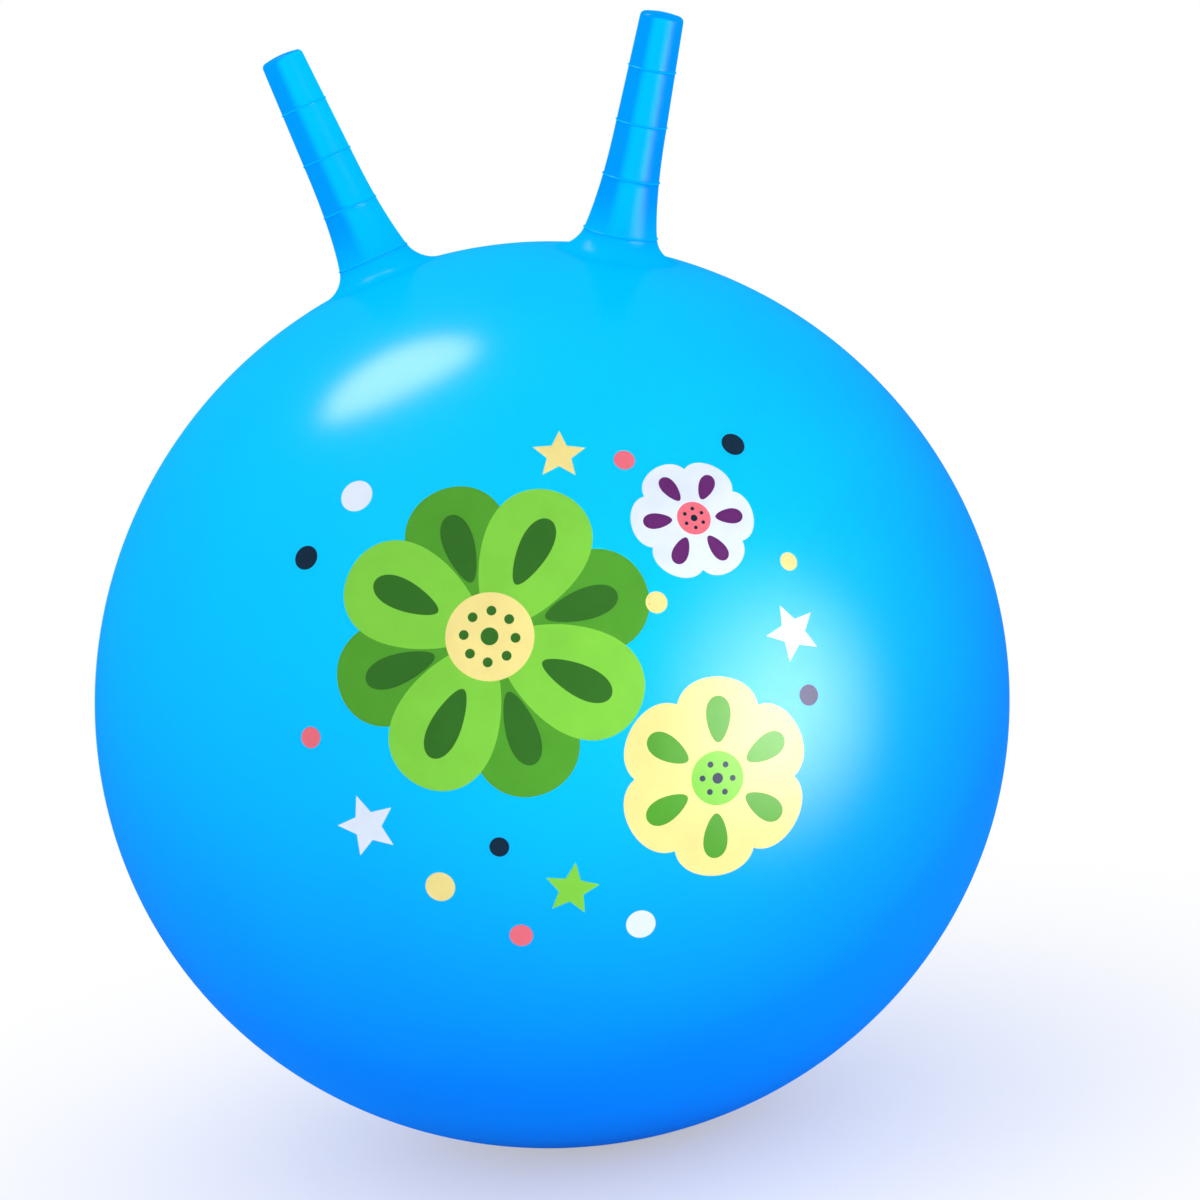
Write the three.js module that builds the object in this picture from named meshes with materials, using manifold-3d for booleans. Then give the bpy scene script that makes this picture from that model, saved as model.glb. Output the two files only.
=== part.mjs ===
// Hopper ball: an inflated vinyl ball with two hollow ringed horns to hold, an air valve and its stopper.
// Millimetres, +Z up. The origin is the centre of the flat patch that the soft ball stands on.
// The horns lie in the XZ plane, the front of the ball faces -Y and the valve is at the back, on +Y.

import * as THREE from 'three';
import { mergeVertices } from 'three/addons/utils/BufferGeometryUtils.js';
import Module from 'manifold-3d';

// Ball: a sphere that sags a little under its own weight
const ballDiameter = 450;
const poleFlattening = 2.4;
const bellyDroop = 1.65;
const skinThickness = 1;
const patchDiameter = 76;

// Horns: hollow tapered handles that lean outwards
const hornTilt = THREE.MathUtils.degToRad(17.8);
const hornAxisRise = 33; // height above the ball's centre where the two horn axes cross
const hornLength = 116.6; // from the skin to the tip, along the axis
const hornTipDiameter = 20.8;
const hornRootDiameter = 28.6; // of the straight taper, before the flare
const hornWall = 2;
const tipThickness = 3;
const tipCrown = 0.8;
const tipEdgeRadius = 2.6;
const rootFlareWidth = 8.5;
const rootFlareHeight = 56;
const rootFilletWidth = 7;
const rootFilletHeight = 9;
const rootBlendHeight = 27; // height at which the horn is square to its axis
const rootLip = 0.4; // thickness of the root at its rim

// Grip rings: thin beads round each horn, from the tip down to the root
const ringPitch = 26.6;
const firstRingFromTip = 27.3;
const lowestRingHeight = 5;
const ringWidth = 0.9;
const ringHeight = 0.6;

// Valve seat: a soft flanged sleeve in the skin, with a tapered bore
const flangeDiameter = 26;
const flangeThickness = 1;
const sleeveDiameter = 14;
const sleeveLength = 16;
const boreMouthDiameter = 9.8;
const boreEndDiameter = 8.6;

// Stopper: a tapered shank under a low domed head
const plugHeadDiameter = 17;
const plugHeadThickness = 2.2;
const plugHeadEdge = 0.7;
const plugShankLength = 19;
const plugNoseChamfer = 1.2;

// Clearances between pieces
const seatGap = 0.3;
const plugGap = 0.3;

// Facets
const ballSegments = 56;
const ballRows = 28;
const hornSegments = 32;
const flareSteps = 9;
const edgeSteps = 3;
const valveSegments = 28;

// Colours
const vinylBlue = 0x00b2ff;
const hornBlue = 0x00a8ff;
const stopperWhite = 0xf2f4f6;

const ballRadius = ballDiameter / 2;
const quarterTurn = Math.PI / 2;
const wasm = await Module();
wasm.setup();

// Distance of the skin from the ball's centre, by the sine of the elevation
function skinRadius(sine) {
  const droop = bellyDroop * (5 * sine ** 3 - 3 * sine) / 2;
  return ballRadius - poleFlattening * sine ** 2 + droop;
}

// Angle from straight down at which the skin meets the edge of the contact patch
function patchAngle() {
  let angle = 0;
  for (let round = 0; round < 8; round += 1) {
    angle = Math.asin(patchDiameter / 2 / skinRadius(-Math.cos(angle)));
  }
  return angle;
}

const patchEdgeAngle = patchAngle();
const centreHeight = skinRadius(-Math.cos(patchEdgeAngle)) * Math.cos(patchEdgeAngle);

// Solid of revolution about Z from [radius, height] pairs
function revolve(outline, segments) {
  const points = outline.map(([radius, height]) => new THREE.Vector2(radius, height));
  return new THREE.LatheGeometry(points, segments).rotateX(quarterTurn);
}

// Revolve whose outline changes round the axis. Every outline starts and ends on the axis.
function revolveVarying(outlineAt, segments) {
  const outlines = Array.from({ length: segments }, (_, k) => outlineAt((2 * Math.PI * k) / segments));
  const rings = outlines[0].length - 2;
  const positions = [0, 0, outlines[0][0][1]];
  for (let ring = 1; ring <= rings; ring += 1) {
    outlines.forEach((outline, k) => {
      const turn = (2 * Math.PI * k) / segments;
      const [radius, height] = outline[ring];
      positions.push(radius * Math.cos(turn), radius * Math.sin(turn), height);
    });
  }
  positions.push(0, 0, outlines[0][rings + 1][1]);
  const last = rings * segments + 1;
  const indices = [];
  for (let k = 0; k < segments; k += 1) {
    const next = (k + 1) % segments;
    indices.push(0, 1 + k, 1 + next);
    for (let ring = 0; ring < rings - 1; ring += 1) {
      const upper = 1 + ring * segments;
      const lower = upper + segments;
      indices.push(upper + k, lower + k, lower + next, upper + k, lower + next, upper + next);
    }
    indices.push(last, last - segments + next, last - segments + k);
  }
  const geometry = new THREE.BufferGeometry();
  geometry.setAttribute('position', new THREE.Float32BufferAttribute(positions, 3));
  geometry.setIndex(indices);
  geometry.computeVertexNormals();
  return geometry;
}

// Closed solid for cutting, from a geometry
function toSolid(geometry) {
  const bare = geometry.clone();
  bare.deleteAttribute('normal');
  bare.deleteAttribute('uv');
  const merged = mergeVertices(bare);
  const corners = merged.index.array;
  const kept = [];
  for (let i = 0; i < corners.length; i += 3) {
    const [a, b, c] = corners.slice(i, i + 3);
    if (a !== b && b !== c && c !== a) {
      kept.push(a, b, c);
    }
  }
  return new wasm.Manifold(new wasm.Mesh({
    numProp: 3,
    vertProperties: new Float32Array(merged.attributes.position.array),
    triVerts: new Uint32Array(kept),
  }));
}

function toGeometry(solid) {
  const mesh = solid.getMesh();
  const geometry = new THREE.BufferGeometry();
  geometry.setAttribute('position', new THREE.Float32BufferAttribute(mesh.vertProperties, 3));
  geometry.setIndex(Array.from(mesh.triVerts));
  geometry.computeVertexNormals();
  return geometry;
}

function piece(name, geometry, colour, roughness) {
  const material = new THREE.MeshStandardMaterial({ color: colour, roughness, metalness: 0 });
  const mesh = new THREE.Mesh(geometry, material);
  mesh.name = name;
  return mesh;
}

// Ball about its centre, drawn in by a given depth from the outer surface
function ballGeometry(depth) {
  const outline = [];
  for (let row = 0; row <= ballRows; row += 1) {
    const angle = patchEdgeAngle + ((Math.PI - patchEdgeAngle) * row) / ballRows;
    const radius = skinRadius(-Math.cos(angle)) - depth;
    outline.push([row === ballRows ? 0 : radius * Math.sin(angle), -radius * Math.cos(angle)]);
  }
  outline.unshift([0, outline[0][1]]);
  return revolve(outline, ballSegments);
}

// Places of the pieces about the ball's centre
function hornPlace(turn) {
  const lean = new THREE.Group();
  lean.position.z = hornAxisRise;
  lean.rotation.y = hornTilt;
  const side = new THREE.Group();
  side.rotation.z = turn;
  side.add(lean);
  side.updateMatrixWorld(true);
  return { side, lean };
}

function valvePlace() {
  const place = new THREE.Group();
  place.position.y = ballRadius;
  place.rotation.x = -quarterTurn;
  place.updateMatrixWorld(true);
  return place;
}

// Height of the skin along a horn's axis, at a distance from the axis and a turn about it
function skinHeight(distance, turn) {
  const centreX = hornAxisRise * Math.sin(hornTilt);
  const centreZ = -hornAxisRise * Math.cos(hornTilt);
  const across = distance * Math.cos(turn) - centreX;
  const aside = distance * Math.sin(turn);
  let radius = ballRadius;
  let along = radius;
  for (let round = 0; round < 6; round += 1) {
    along = Math.sqrt(radius ** 2 - across ** 2 - aside ** 2);
    radius = skinRadius((along * Math.cos(hornTilt) - across * Math.sin(hornTilt)) / radius);
  }
  return centreZ + along;
}

const hornBase = skinHeight(0, 0);
const rootEdge = seatGap + rootLip;

// Quarter of an ellipse that widens from nothing at the top to its full width at the rim of the root
function quarterEllipse(width, top, height) {
  const drop = THREE.MathUtils.clamp((top - height) / (top - rootEdge), 0, 1);
  return width * (1 - Math.sqrt(1 - drop ** 2));
}

// Outer radius of a horn at a height above the skin: a straight taper, with a tall flare and a fillet at its root
function hornRadius(height) {
  const taper = (hornRootDiameter + ((hornTipDiameter - hornRootDiameter) * height) / hornLength) / 2;
  const flare = quarterEllipse(rootFlareWidth, rootFlareHeight, height);
  const fillet = quarterEllipse(rootFilletWidth, rootFilletHeight, height);
  return taper + flare + fillet;
}

function boreRadius(height) {
  return hornRadius(height + hornWall) - hornWall;
}

// The foot of a horn follows the skin, and its grip stays square to the axis
function hornPoint(radius, height, turn) {
  const fade = Math.max(0, 1 - height / rootBlendHeight) ** 2;
  const sag = skinHeight(radius, turn) - hornBase;
  return [radius, hornBase + height + sag * fade];
}

// Heights down the flare, closer together where it curls out
function flareHeights() {
  return Array.from({ length: flareSteps + 1 }, (_, step) => {
    const angle = (quarterTurn * (flareSteps - step)) / flareSteps;
    return rootEdge + (rootFlareHeight - rootEdge) * (1 - Math.cos(angle));
  });
}

function ringHeights() {
  const room = hornLength - firstRingFromTip - lowestRingHeight;
  const count = Math.floor(room / ringPitch) + 1;
  return Array.from({ length: count }, (_, ring) => hornLength - firstRingFromTip - ring * ringPitch);
}

// Stations down the outside of a horn below its rounded edge, as [radius, height]
function gripStations() {
  const rings = ringHeights();
  const clearOfRings = (height) => rings.every((ring) => Math.abs(ring - height) > ringWidth);
  const plain = flareHeights().filter(clearOfRings).map((height) => [hornRadius(height), height]);
  const beads = rings.flatMap((ring) => [
    [hornRadius(ring + ringWidth / 2), ring + ringWidth / 2],
    [hornRadius(ring) + ringHeight, ring + ringWidth / 4],
    [hornRadius(ring) + ringHeight, ring - ringWidth / 4],
    [hornRadius(ring - ringWidth / 2), ring - ringWidth / 2],
  ]);
  return [...plain, ...beads].sort((a, b) => b[1] - a[1]);
}

// Low crown and rounded edge of the tip
function tipStations() {
  const shoulder = hornLength - tipCrown - tipEdgeRadius;
  const flat = hornRadius(shoulder) - tipEdgeRadius;
  const stations = [[flat / 2, hornLength - tipCrown / 4]];
  for (let step = 0; step <= edgeSteps; step += 1) {
    const angle = (quarterTurn * step) / edgeSteps;
    stations.push([flat + tipEdgeRadius * Math.sin(angle), shoulder + tipEdgeRadius * Math.cos(angle)]);
  }
  return stations;
}

function boreStations() {
  const flare = flareHeights().reverse().slice(1).map((height) => [boreRadius(height), height]);
  const end = hornLength - tipThickness;
  return [[boreRadius(seatGap), seatGap], ...flare, [boreRadius(end), end]];
}

function hornGeometry() {
  const rim = [hornRadius(rootEdge), seatGap];
  const stations = [...tipStations(), ...gripStations(), rim, ...boreStations()];
  return revolveVarying((turn) => [
    [0, hornBase + hornLength],
    ...stations.map(([radius, height]) => hornPoint(radius, height, turn)),
    [0, hornBase + hornLength - tipThickness],
  ], hornSegments);
}

// How far the skin falls away from the valve, by the distance from the valve's axis
function fallAway(distance) {
  return ballRadius - Math.sqrt(ballRadius ** 2 - distance ** 2);
}

const flangeTop = seatGap + flangeThickness;
const headSeat = flangeTop + seatGap;

function valveBoreRadius(height) {
  const share = (flangeTop - height) / (flangeTop + sleeveLength);
  return (boreMouthDiameter + (boreEndDiameter - boreMouthDiameter) * share) / 2;
}

function valveSeatGeometry() {
  const flange = flangeDiameter / 2;
  const sleeve = sleeveDiameter / 2;
  const rounding = flangeThickness / 2;
  const mouth = [valveBoreRadius(flangeTop), flangeTop];
  return revolve([
    mouth,
    [valveBoreRadius(-sleeveLength), -sleeveLength],
    [sleeve, -sleeveLength],
    [sleeve, seatGap - fallAway(sleeve)],
    [flange, seatGap - fallAway(flange)],
    [flange, flangeTop - rounding - fallAway(flange)],
    [flange - rounding, flangeTop - fallAway(flange)],
    mouth,
  ], valveSegments);
}

function plugGeometry() {
  const head = plugHeadDiameter / 2;
  const top = headSeat + plugHeadThickness;
  const nose = headSeat - plugShankLength;
  const shankRadius = (height) => valveBoreRadius(height) - plugGap;
  return revolve([
    [0, nose],
    [shankRadius(nose) - plugNoseChamfer, nose],
    [shankRadius(nose + plugNoseChamfer), nose + plugNoseChamfer],
    [shankRadius(headSeat), headSeat],
    [head - plugHeadEdge, headSeat],
    [head, headSeat + plugHeadEdge],
    [head, top - 2 * plugHeadEdge],
    [head - plugHeadEdge, top - plugHeadEdge],
    [head / 2, top - plugHeadEdge / 4],
    [0, top],
  ], valveSegments);
}

// Straight cutter for a hole through the skin, centred on the given height of its axis
function holeCutter(radius, height, place) {
  const reach = 2 * (radius + skinThickness);
  const cutter = new THREE.CylinderGeometry(radius, radius, reach, hornSegments);
  cutter.rotateX(quarterTurn).translate(0, 0, height).applyMatrix4(place.matrixWorld);
  return toSolid(cutter);
}

const horns = [
  { name: 'right_horn', ...hornPlace(0) },
  { name: 'left_horn', ...hornPlace(Math.PI) },
];
const valve = valvePlace();

function skinGeometry() {
  let skin = toSolid(ballGeometry(0)).subtract(toSolid(ballGeometry(skinThickness)));
  for (const horn of horns) {
    skin = skin.subtract(holeCutter(boreRadius(seatGap), hornBase, horn.lean));
  }
  skin = skin.subtract(holeCutter(sleeveDiameter / 2 + seatGap, 0, valve));
  return toGeometry(skin);
}

const ball = new THREE.Group();
ball.position.z = centreHeight;
ball.add(piece('ball_skin', skinGeometry(), vinylBlue, 0.35));
for (const horn of horns) {
  horn.lean.add(piece(horn.name, hornGeometry(), hornBlue, 0.35));
  ball.add(horn.side);
}
valve.add(piece('valve_seat', valveSeatGeometry(), vinylBlue, 0.45));
valve.add(piece('valve_plug', plugGeometry(), stopperWhite, 0.4));
ball.add(valve);

const hopperBall = new THREE.Group();
hopperBall.add(ball);

export default hopperBall;
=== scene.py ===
"""Looks of the hopper ball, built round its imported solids. Metres, +Z up, front towards -Y."""
import math

import bmesh
import bpy
import numpy as np
from mathutils import Matrix, Vector


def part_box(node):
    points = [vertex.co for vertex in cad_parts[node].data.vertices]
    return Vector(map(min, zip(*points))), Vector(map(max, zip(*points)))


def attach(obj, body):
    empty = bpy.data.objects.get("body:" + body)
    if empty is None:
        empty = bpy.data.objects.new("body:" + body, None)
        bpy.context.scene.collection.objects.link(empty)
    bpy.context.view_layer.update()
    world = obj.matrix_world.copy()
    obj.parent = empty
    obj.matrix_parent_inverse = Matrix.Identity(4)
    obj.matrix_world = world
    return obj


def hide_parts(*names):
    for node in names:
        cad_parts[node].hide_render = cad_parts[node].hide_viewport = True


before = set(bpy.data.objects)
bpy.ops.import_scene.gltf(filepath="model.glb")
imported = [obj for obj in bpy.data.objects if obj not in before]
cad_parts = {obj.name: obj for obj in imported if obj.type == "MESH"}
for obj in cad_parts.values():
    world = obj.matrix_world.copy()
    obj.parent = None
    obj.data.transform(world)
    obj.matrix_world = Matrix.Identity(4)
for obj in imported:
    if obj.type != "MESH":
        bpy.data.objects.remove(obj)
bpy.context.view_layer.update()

MM = 0.001
TURN = 2 * math.pi
QUARTER_TURN = math.pi / 2
SEARCH_ROUNDS = 8
SMOOTH_ANGLE = 40

# Ball, with the same sag as the solid that it stands for
BALL_RADIUS = (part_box("ball_skin")[1].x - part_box("ball_skin")[0].x) / 2
POLE_FLATTENING = 2.4 * MM
BELLY_DROOP = 1.65 * MM
SKIN_THICKNESS = 1.0 * MM
PATCH_RADIUS = 38 * MM
PATCH_ROUNDING = 0.8 * MM
BALL_SEGMENTS = 256
BALL_ROWS = 128
INSIDE_ROWS = 24

# Fine ridge where the two halves of the mould met, in the plane of the horns. It has rows of points of its
# own over its reach, and the plain rows keep out of that reach times the clearance.
SEAM_WIDTH = 0.9 * MM
SEAM_HEIGHT = 0.07 * MM
SEAM_REACH = 0.75 * SEAM_WIDTH
SEAM_ROWS = 13
SEAM_CLEARANCE = 1.3

# Horns
HORN_TILT = math.radians(17.8)
HORN_AXIS_RISE = 33 * MM
HORN_LENGTH = 116.6 * MM
HORN_TIP_RADIUS = 10.4 * MM
HORN_ROOT_RADIUS = 14.3 * MM
HORN_WALL = 2 * MM
TIP_THICKNESS = 3 * MM
TIP_CROWN = 0.8 * MM
TIP_CROWN_SHARES = (0.25, 0.5, 0.75)
TIP_EDGE = 2.6 * MM
TIP_EDGE_STEPS = 10
SHOULDER_HEIGHT = HORN_LENGTH - TIP_CROWN - TIP_EDGE
FLARE_WIDTH = 8.5 * MM
FLARE_HEIGHT = 56 * MM
FLARE_STEPS = 48
FILLET_WIDTH = 7 * MM
FILLET_HEIGHT = 9 * MM
BLEND_HEIGHT = 27 * MM
FOOT_LIFT = 0.02 * MM
GRIP_STEPS = 40
RING_PITCH = 26.6 * MM
FIRST_RING_FROM_TIP = 27.3 * MM
RING_COUNT = 4
RING_WIDTH = 1.1 * MM
RING_HEIGHT = 0.6 * MM
RING_STEPS = 8
BORE_START = 2 * MM
BORE_STEPS = 8
HORN_SEGMENTS = 96
HORN_SMOOTH_ANGLE = 50

# Valve: heights are outwards from the ball's radius
VALVE_HOLE_RADIUS = 7.3 * MM
FLANGE_RADIUS = 13 * MM
FLANGE_TOP = 1.3 * MM
FLANGE_SINK = 0.2 * MM
SLEEVE_RADIUS = 7 * MM
SLEEVE_TOP = -0.5 * MM
SLEEVE_LENGTH = 16 * MM
BORE_MOUTH_RADIUS = 4.9 * MM
BORE_END_RADIUS = 4.3 * MM
VALVE_ROUNDING = 0.5 * MM
FLANGE_ROUNDING = 1.0 * MM
GROOVE_DROP = 0.1 * MM
GROOVE_STEPS = 9
ARC_STEPS = 6
VALVE_SEGMENTS = 64

# Stopper: a tapered shank under a flat head, which is dished round a low boss
PLUG_HEAD_RADIUS = 8.5 * MM
PLUG_HEAD_SEAT = 1.6 * MM
PLUG_HEAD_TOP = 3.8 * MM
PLUG_SHANK_LENGTH = 19 * MM
PLUG_GAP = 0.25 * MM
PLUG_EDGE = 0.8 * MM
PLUG_FILLET = 0.4 * MM
NOSE_ROUNDING = 1.2 * MM
SHANK_START = 1.8 * MM
SHANK_STEPS = 12
DISH_DEPTH = 0.48 * MM
DISH_INSET = 2.08 * MM
BOSS_RADIUS = 2.45 * MM
BOSS_ROUNDING = 0.48 * MM
BOSS_TOP = PLUG_HEAD_TOP - 0.32 * MM

# Print on the front, as thin layers of ink: places and sizes of its small motifs are in millimetres
PRINT_AZIMUTH = math.radians(13)
PRINT_ELEVATION = math.radians(14)
INK_LIFT = 0.08 * MM
INK_LAYER = 0.05 * MM
INK_DEPTH = 0.2 * MM
INK_MESH = 5 * MM
INK_COLOURS = {
    "lime": (0.2, 0.58, 0.056),
    "leaf": (0.076, 0.323, 0.027),
    "pine": (0.03, 0.145, 0.018),
    "cream": (0.81, 0.69, 0.26),
    "lilac": (0.68, 0.76, 0.9),
    "navy": (0.006, 0.022, 0.047),
    "rose": (0.78, 0.15, 0.2),
    "plum": (0.12, 0.02, 0.14),
}

# Flowers: middle, radius, number of petals, turn in radians, and the colours of the even petals, the odd
# petals, their streaks, the eye and the seeds
FLOWERS = [
    ((-28, 22), 74, 8, 0.2, ("leaf", "lime", "pine", "cream", "pine")),
    ((66, -54), 46, 6, 0.4, ("cream", "cream", "leaf", "lime", "navy")),
    ((72, 66), 30, 6, 0.0, ("lilac", "lilac", "plum", "rose", "navy")),
]

# Stars: middle, radius, turn in degrees and colour
STARS = [
    ((-96, -56), 15, 12, "lilac"),
    ((14, 104), 13, -8, "cream"),
    ((112, 8), 14, 20, "lilac"),
    ((-6, -96), 13, -15, "lime"),
]

# Dots: middle, radius and colour
DOTS = [
    ((-112, 74), 6, "navy"),
    ((-84, 100), 8, "lilac"),
    ((-118, -12), 5, "rose"),
    ((-66, -88), 7, "cream"),
    ((-36, -72), 4.5, "navy"),
    ((-32, -116), 5.5, "rose"),
    ((24, -118), 7, "lilac"),
    ((48, 28), 5, "cream"),
    ((44, 98), 5, "rose"),
    ((100, 104), 6, "navy"),
    ((116, 42), 4.5, "cream"),
    ((116, -22), 5, "navy"),
]

# Shares of the motifs: eye and petals of the flower's radius, streaks of the petal, seeds of the eye
EYE_SHARE = 0.27
PETAL_START = 0.3
PETAL_WIDTH = 2.1
PETAL_TAPER = 0.22
PETAL_POINTS = 60
STREAK_PLACE = 0.34
STREAK_LENGTH = 0.5
STREAK_WIDTH = 0.3
SEED_PLACE = 0.58
SEED_SHARE = 0.11
MIDDLE_SEED_SHARE = 0.2
STREAK_LAYER = 2
EYE_LAYER = 3
SEED_LAYER = 4
STAR_POINTS = 5
STAR_INNER_SHARE = 0.46
STAR_SIDE_STEPS = 4
DOT_POINTS = 48

# Colours: the skin's stops are painted shade and light, running from its dark side to its light side
SKIN_PAINTED_SHADE_STOPS = [
    (0.0, (0.0, 0.31, 1.0)),
    (0.4, (0.0, 0.265, 1.0)),
    (0.52, (0.0, 0.27, 1.0)),
    (0.75, (0.0, 0.415, 1.0)),
    (1.0, (0.0, 0.56, 1.0)),
]
# Direction of the light that the skin's painted shade and light are lightest towards
PAINTED_LIGHT_SIDE = Vector((0, -0.62, 0.785)).normalized()
# Horns: azure on the side away from the light and cyan on the side towards it, as painted shade and light; the
# beads' paler cyan is a painted highlight
HORN_BLUE = (0.0, 0.345, 1.0)
HORN_PAINTED_LIGHT_CYAN = (0.0, 0.58, 1.0)
HORN_BEAD_PAINTED_HIGHLIGHT = (0.0, 0.6, 1.0)
HORN_BLUE_HEIGHT = 32 * MM
VALVE_COLOUR = (0.0, 0.28, 0.97)
PLUG_COLOUR = (0.86, 0.88, 0.9)

# Painted light: a cyan band up each horn on the side that faces the light, in degrees: azimuth of its middle,
# and the angles from there where it starts to fade and where it ends
HORN_PAINTED_LIGHT_BANDS = {"right": (12, 8, 34), "left": (57, 46, 70)}

# Finishes: scales of noise are for each metre
GLOSS_IOR = 2.5
VINYL_GLOSS = 0.022
HORN_GLOSS = 0.004
VALVE_GLOSS = 0.06
PLUG_GLOSS = 0.17
VINYL_ROUGHNESS = 0.2
VALVE_ROUGHNESS = 0.45
PLUG_ROUGHNESS = 0.42
NOISE_RANGE = (0.3, 0.7)
NOISE_DETAIL = 3
GRAIN_DETAIL = 2
GRAIN_DEPTH = 0.05 * MM
VINYL_MOTTLE_SCALE = 14
VINYL_MOTTLE = (0.975, 1.02)
VINYL_HAZE_SCALE = 40
VINYL_HAZE = (-0.03, 0.04)
VINYL_GRAIN_SCALE = 700
VINYL_GRAIN_STRENGTH = 0.12
INK_MOTTLE_SCALE = 60
VALVE_MOTTLE_SCALE = 300
MOULDED_MOTTLE = (0.95, 1.03)
MOULDED_HAZE_SCALE = 160
MOULDED_HAZE = (-0.05, 0.05)
MOULDED_GRAIN_SCALE = 900
MOULDED_GRAIN_STRENGTH = 0.2

# Camera, in the photograph's frame of 1200 pixels
PHOTO_SIZE = 1200
BALL_CENTRE_PIXEL = (552.2, 696.0)
BALL_RADIUS_PIXELS = 457.5
CAMERA_DISTANCE = 2.0
CAMERA_AZIMUTH = math.radians(12)
CAMERA_ELEVATION = math.radians(12)
CAMERA_ROLL = math.radians(-7.1)
SENSOR_WIDTH = 36.0
FOCAL_PIXELS = BALL_RADIUS_PIXELS * math.sqrt(CAMERA_DISTANCE**2 - BALL_RADIUS**2) / BALL_RADIUS

# Two soft boxes that only show as reflections: the pixels where the photograph shows them, their distance
# from the skin, and a tint that keeps the green of the highlights down to the photograph's
STRIP_PIXEL = (395, 372)
STRIP_ENDS = ((310, 415), (485, 335))
STRIP_SIZE = (0.78, 0.48)
STRIP_WATTS = 84
GLOW_PIXEL = (785, 705)
GLOW_SIZE = (2.9, 2.9)
GLOW_WATTS = 1900
GLOSS_REACH = 1.5
GLOSS_TINT = (1.0, 0.8, 1.0)

# Weak key and fill, placed from the ball's centre in the camera's right, up and back
KEY_PLACE = Vector((-1.1, 1.6, 1.0))
KEY_SIZE = (1.4, 1.4)
KEY_WATTS = 3
FILL_PLACE = Vector((0.75, -0.24, 1.45))
FILL_SIZE = (0.3, 0.3)
FILL_WATTS = 0.09
FILL_SPREAD = math.radians(9)

# Floor: share of plain white near the ball, and the distances over which the rest fades to white
FLOOR_SIZE = 30
FLOOR_COLOUR = (0.97, 0.97, 0.97)
FLOOR_ROUGHNESS = 0.9
FLOOR_WHITE = 0.45
SHADOW_START = 0.2
SHADOW_END = 0.55


# Shape of the skin
def skin_radius(sine):
    """Distance of the skin from the ball's centre, by the sine of the elevation."""
    droop = BELLY_DROOP * (5 * sine**3 - 3 * sine) / 2
    return BALL_RADIUS - POLE_FLATTENING * sine**2 + droop


def centre_height():
    """Height of the ball's centre over a contact patch of the given radius."""
    angle = 0.0
    for _ in range(SEARCH_ROUNDS):
        angle = math.asin(PATCH_RADIUS / skin_radius(-math.cos(angle)))
    return skin_radius(-math.cos(angle)) * math.cos(angle)


BALL_CENTRE = Vector((0, 0, centre_height()))


def skin_points(directions, lift=0.0):
    """Points of the skin in unit directions from the centre, raised by lift, resting on the floor."""
    directions = np.asarray(directions, float)
    distance = skin_radius(directions[..., 2]) + lift
    points = np.array(BALL_CENTRE) + directions * distance[..., None]
    height = points[..., 2]
    points[..., 2] = (height + np.sqrt(height**2 + PATCH_ROUNDING**2)) / 2
    return points


def facing_axes(azimuth, elevation):
    """Directions out of the ball and level to the right, as seen from an azimuth and elevation."""
    level = math.cos(elevation)
    out = (math.sin(azimuth) * level, -math.cos(azimuth) * level, math.sin(elevation))
    right = (math.cos(azimuth), math.sin(azimuth), 0)
    return out, right


# Meshes
def mesh_piece(name, vertices, faces, smooth_angle=SMOOTH_ANGLE):
    """Piece with its normals outwards, shaded smooth apart from edges sharper than an angle in degrees."""
    mesh = bpy.data.meshes.new(name)
    mesh.from_pydata([tuple(v) for v in vertices], [], faces)
    shape = bmesh.new()
    shape.from_mesh(mesh)
    bmesh.ops.recalc_face_normals(shape, faces=shape.faces)
    shape.to_mesh(mesh)
    shape.free()
    mesh.shade_smooth()
    mesh.set_sharp_from_angle(angle=math.radians(smooth_angle))
    piece = bpy.data.objects.new(name, mesh)
    bpy.context.scene.collection.objects.link(piece)
    return piece


def ring_faces(rings, count, start=0, closed=False):
    """Quads between rings of count points each, the last joined to the first where closed."""
    faces = []
    for ring in range(rings if closed else rings - 1):
        here = start + ring * count
        there = start + ((ring + 1) % rings) * count
        for k in range(count):
            following = (k + 1) % count
            faces.append((here + k, here + following, there + following, there + k))
    return faces


def cap_faces(pole, ring_start, count):
    """Triangles from an end point to a ring of count points."""
    return [(pole, ring_start + k, ring_start + (k + 1) % count) for k in range(count)]


def ring_solid(rings, first_pole, last_pole):
    """Points and faces of a closed solid from rings of points between two end points."""
    rings = np.asarray(rings, float)
    count = rings.shape[1]
    vertices = [first_pole, *rings.reshape(-1, 3), last_pole]
    faces = ring_faces(len(rings), count, start=1)
    faces += cap_faces(0, 1, count)
    faces += cap_faces(len(vertices) - 1, 1 + (len(rings) - 1) * count, count)
    return vertices, faces


def solid_of_rings(name, rings, first_pole, last_pole, smooth_angle=SMOOTH_ANGLE):
    """Closed piece from rings of points between two end points."""
    return mesh_piece(name, *ring_solid(rings, first_pole, last_pole), smooth_angle)


def loop_of_rings(name, rings):
    """Closed piece from rings of points, the last joined to the first."""
    rings = np.asarray(rings, float)
    faces = ring_faces(len(rings), rings.shape[1], closed=True)
    return mesh_piece(name, rings.reshape(-1, 3), faces)


def joined(name, solids):
    """One piece from several solids."""
    vertices = []
    faces = []
    for solid_vertices, solid_faces in solids:
        start = len(vertices)
        vertices += solid_vertices
        faces += [tuple(start + corner for corner in face) for face in solid_faces]
    return mesh_piece(name, vertices, faces)


def seam_height(distance):
    """Height of the mould ridge at a distance from its middle."""
    share = np.clip(1 - (np.asarray(distance) / (SEAM_WIDTH / 2)) ** 2, 0, None)
    return SEAM_HEIGHT * share**2


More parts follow.
